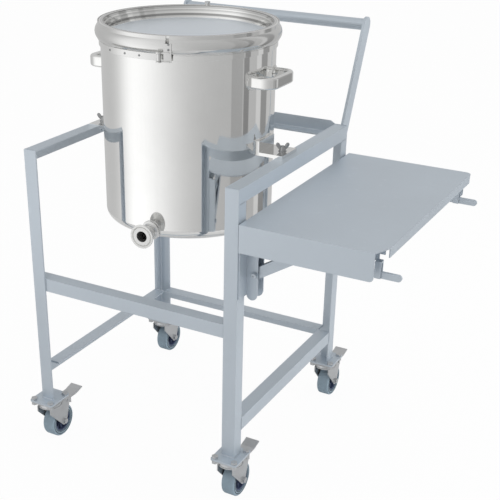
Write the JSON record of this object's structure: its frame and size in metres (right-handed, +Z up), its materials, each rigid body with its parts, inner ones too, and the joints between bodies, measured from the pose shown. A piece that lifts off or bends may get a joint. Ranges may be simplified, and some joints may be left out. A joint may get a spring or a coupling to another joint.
{
  "type": "clamp-lid stainless steel container in a wheeled stand",
  "caption": "Polished round container with a clamp-ring lid, outlet and carry handles, hung in a castered angle-bar stand with a push handle and fold-down side table.",
  "frame": {"origin": "on the floor, under the middle of the stand", "axes": "+Z up, +X towards the side table, +Y towards the push handle"},
  "size_m": [0.843, 0.6785, 0.962],
  "materials": {
    "frame": "fine satin stainless steel angle and flat bar",
    "table": "fine satin stainless steel sheet",
    "polished": "mirror-polished stainless steel",
    "band": "polished stainless steel",
    "lid_satin": "satin stainless steel sheet",
    "bolts": "bright stainless steel castings",
    "gasket": "smooth white elastomer",
    "zinc": "pressed steel with a bright coat",
    "tyre": "grey non-marking elastomer",
    "hub": "dark blue moulded plastic"
  },
  "bodies": {
    "stand": {"leg_front_left": "frame", "leg_front_right": "frame", "leg_rear_left": "frame", "leg_rear_right": "frame", "top_rail_left": "frame", "top_rail_right": "frame", "top_rail_rear": "frame", "front_crossbar": "frame", "lower_rail_left": "frame", "lower_rail_right": "frame", "lower_rail_rear": "frame", "caster_pads": "frame", "caster_plates": "zinc", "caster_bolts": "bolts", "handle_arms": "frame", "handle_grip": "frame", "rail_bosses": "frame", "folding_brackets": "frame"},
    "side_table": {"table_top": "table", "table_arms": "frame"},
    "front_strut": {"strut_front": "frame"},
    "rear_strut": {"strut_rear": "frame"},
    "front_lever": {"release_lever_front": "frame"},
    "rear_lever": {"release_lever_rear": "frame"},
    "container": {"tank_wall": "polished", "tank_bottom": "polished", "tank_rim": "polished", "outlet_ferrule": "polished", "carry_handles": "polished", "lugs": "polished", "wing_bolts": "bolts", "lid": "lid_satin", "lid_gasket": "gasket", "clamp_band": "band", "latch_block": "band"},
    "latch": {"latch_lever": "band"},
    "swivel_fl": {"fork_front_left": "zinc"},
    "swivel_fr": {"fork_front_right": "zinc"},
    "swivel_rl": {"fork_rear_left": "zinc"},
    "swivel_rr": {"fork_rear_right": "zinc"},
    "brake_fl": {"pedal_front_left": "zinc"},
    "brake_fr": {"pedal_front_right": "zinc"},
    "brake_rl": {"pedal_rear_left": "zinc"},
    "brake_rr": {"pedal_rear_right": "zinc"},
    "wheel_fl": {"tyre_front_left": "tyre", "hub_front_left": "hub"},
    "wheel_fr": {"tyre_front_right": "tyre", "hub_front_right": "hub"},
    "wheel_rl": {"tyre_rear_left": "tyre", "hub_rear_left": "hub"},
    "wheel_rr": {"tyre_rear_right": "tyre", "hub_rear_right": "hub"}
  },
  "joints": [
    {"name": "container_lift", "type": "slide", "parent": "stand", "child": "container", "axis": [0, 0, 1], "range_m": [0, 0.25]},
    {"name": "latch_swing", "type": "hinge", "parent": "container", "child": "latch", "pos_m": [0.0479, -0.20712, 0.918], "axis": [0, 0, 1], "range_deg": [0, 100]},
    {"name": "table_fold", "type": "hinge", "parent": "stand", "child": "side_table", "pos_m": [0.283, 0, 0.606], "axis": [0, 1, 0], "range_deg": [0, 90]},
    {"name": "front_strut_swing", "type": "hinge", "parent": "stand", "child": "front_strut", "pos_m": [0.273, -0.212, 0.526], "axis": [0, 1, 0], "range_deg": [0, 122]},
    {"name": "rear_strut_swing", "type": "hinge", "parent": "stand", "child": "rear_strut", "pos_m": [0.273, 0.212, 0.526], "axis": [0, 1, 0], "range_deg": [0, 122]},
    {"name": "front_lever_lift", "type": "hinge", "parent": "side_table", "child": "front_lever", "pos_m": [0.437, -0.2325, 0.5875], "axis": [0, 1, 0], "range_deg": [-5, 0]},
    {"name": "rear_lever_lift", "type": "hinge", "parent": "side_table", "child": "rear_lever", "pos_m": [0.437, 0.2325, 0.5875], "axis": [0, 1, 0], "range_deg": [-5, 0]},
    {"name": "swivel_turn_fl", "type": "hinge", "parent": "stand", "child": "swivel_fl", "pos_m": [-0.24, -0.25, 0.095], "axis": [0, 0, 1], "continuous": true},
    {"name": "swivel_turn_fr", "type": "hinge", "parent": "stand", "child": "swivel_fr", "pos_m": [0.24, -0.25, 0.095], "axis": [0, 0, 1], "continuous": true},
    {"name": "swivel_turn_rl", "type": "hinge", "parent": "stand", "child": "swivel_rl", "pos_m": [-0.24, 0.25, 0.095], "axis": [0, 0, 1], "continuous": true},
    {"name": "swivel_turn_rr", "type": "hinge", "parent": "stand", "child": "swivel_rr", "pos_m": [0.24, 0.25, 0.095], "axis": [0, 0, 1], "continuous": true},
    {"name": "brake_press_fl", "type": "hinge", "parent": "swivel_fl", "child": "brake_fl", "pos_m": [-0.24, -0.21, 0.086], "axis": [1, 0, 0], "range_deg": [-8, 0]},
    {"name": "brake_press_fr", "type": "hinge", "parent": "swivel_fr", "child": "brake_fr", "pos_m": [0.24, -0.21, 0.086], "axis": [1, 0, 0], "range_deg": [-8, 0]},
    {"name": "brake_press_rl", "type": "hinge", "parent": "swivel_rl", "child": "brake_rl", "pos_m": [-0.24, 0.29, 0.086], "axis": [1, 0, 0], "range_deg": [-8, 0]},
    {"name": "brake_press_rr", "type": "hinge", "parent": "swivel_rr", "child": "brake_rr", "pos_m": [0.24, 0.29, 0.086], "axis": [1, 0, 0], "range_deg": [-8, 0]},
    {"name": "wheel_spin_fl", "type": "hinge", "parent": "swivel_fl", "child": "wheel_fl", "pos_m": [-0.24, -0.225, 0.039], "axis": [1, 0, 0], "continuous": true},
    {"name": "wheel_spin_fr", "type": "hinge", "parent": "swivel_fr", "child": "wheel_fr", "pos_m": [0.24, -0.225, 0.039], "axis": [1, 0, 0], "continuous": true},
    {"name": "wheel_spin_rl", "type": "hinge", "parent": "swivel_rl", "child": "wheel_rl", "pos_m": [-0.24, 0.275, 0.039], "axis": [1, 0, 0], "continuous": true},
    {"name": "wheel_spin_rr", "type": "hinge", "parent": "swivel_rr", "child": "wheel_rr", "pos_m": [0.24, 0.275, 0.039], "axis": [1, 0, 0], "continuous": true}
  ],
  "couplings": [
    {"joint": "front_strut_swing", "follows": "table_fold", "ratio": 1.35},
    {"joint": "rear_strut_swing", "follows": "table_fold", "ratio": 1.35}
  ]
}
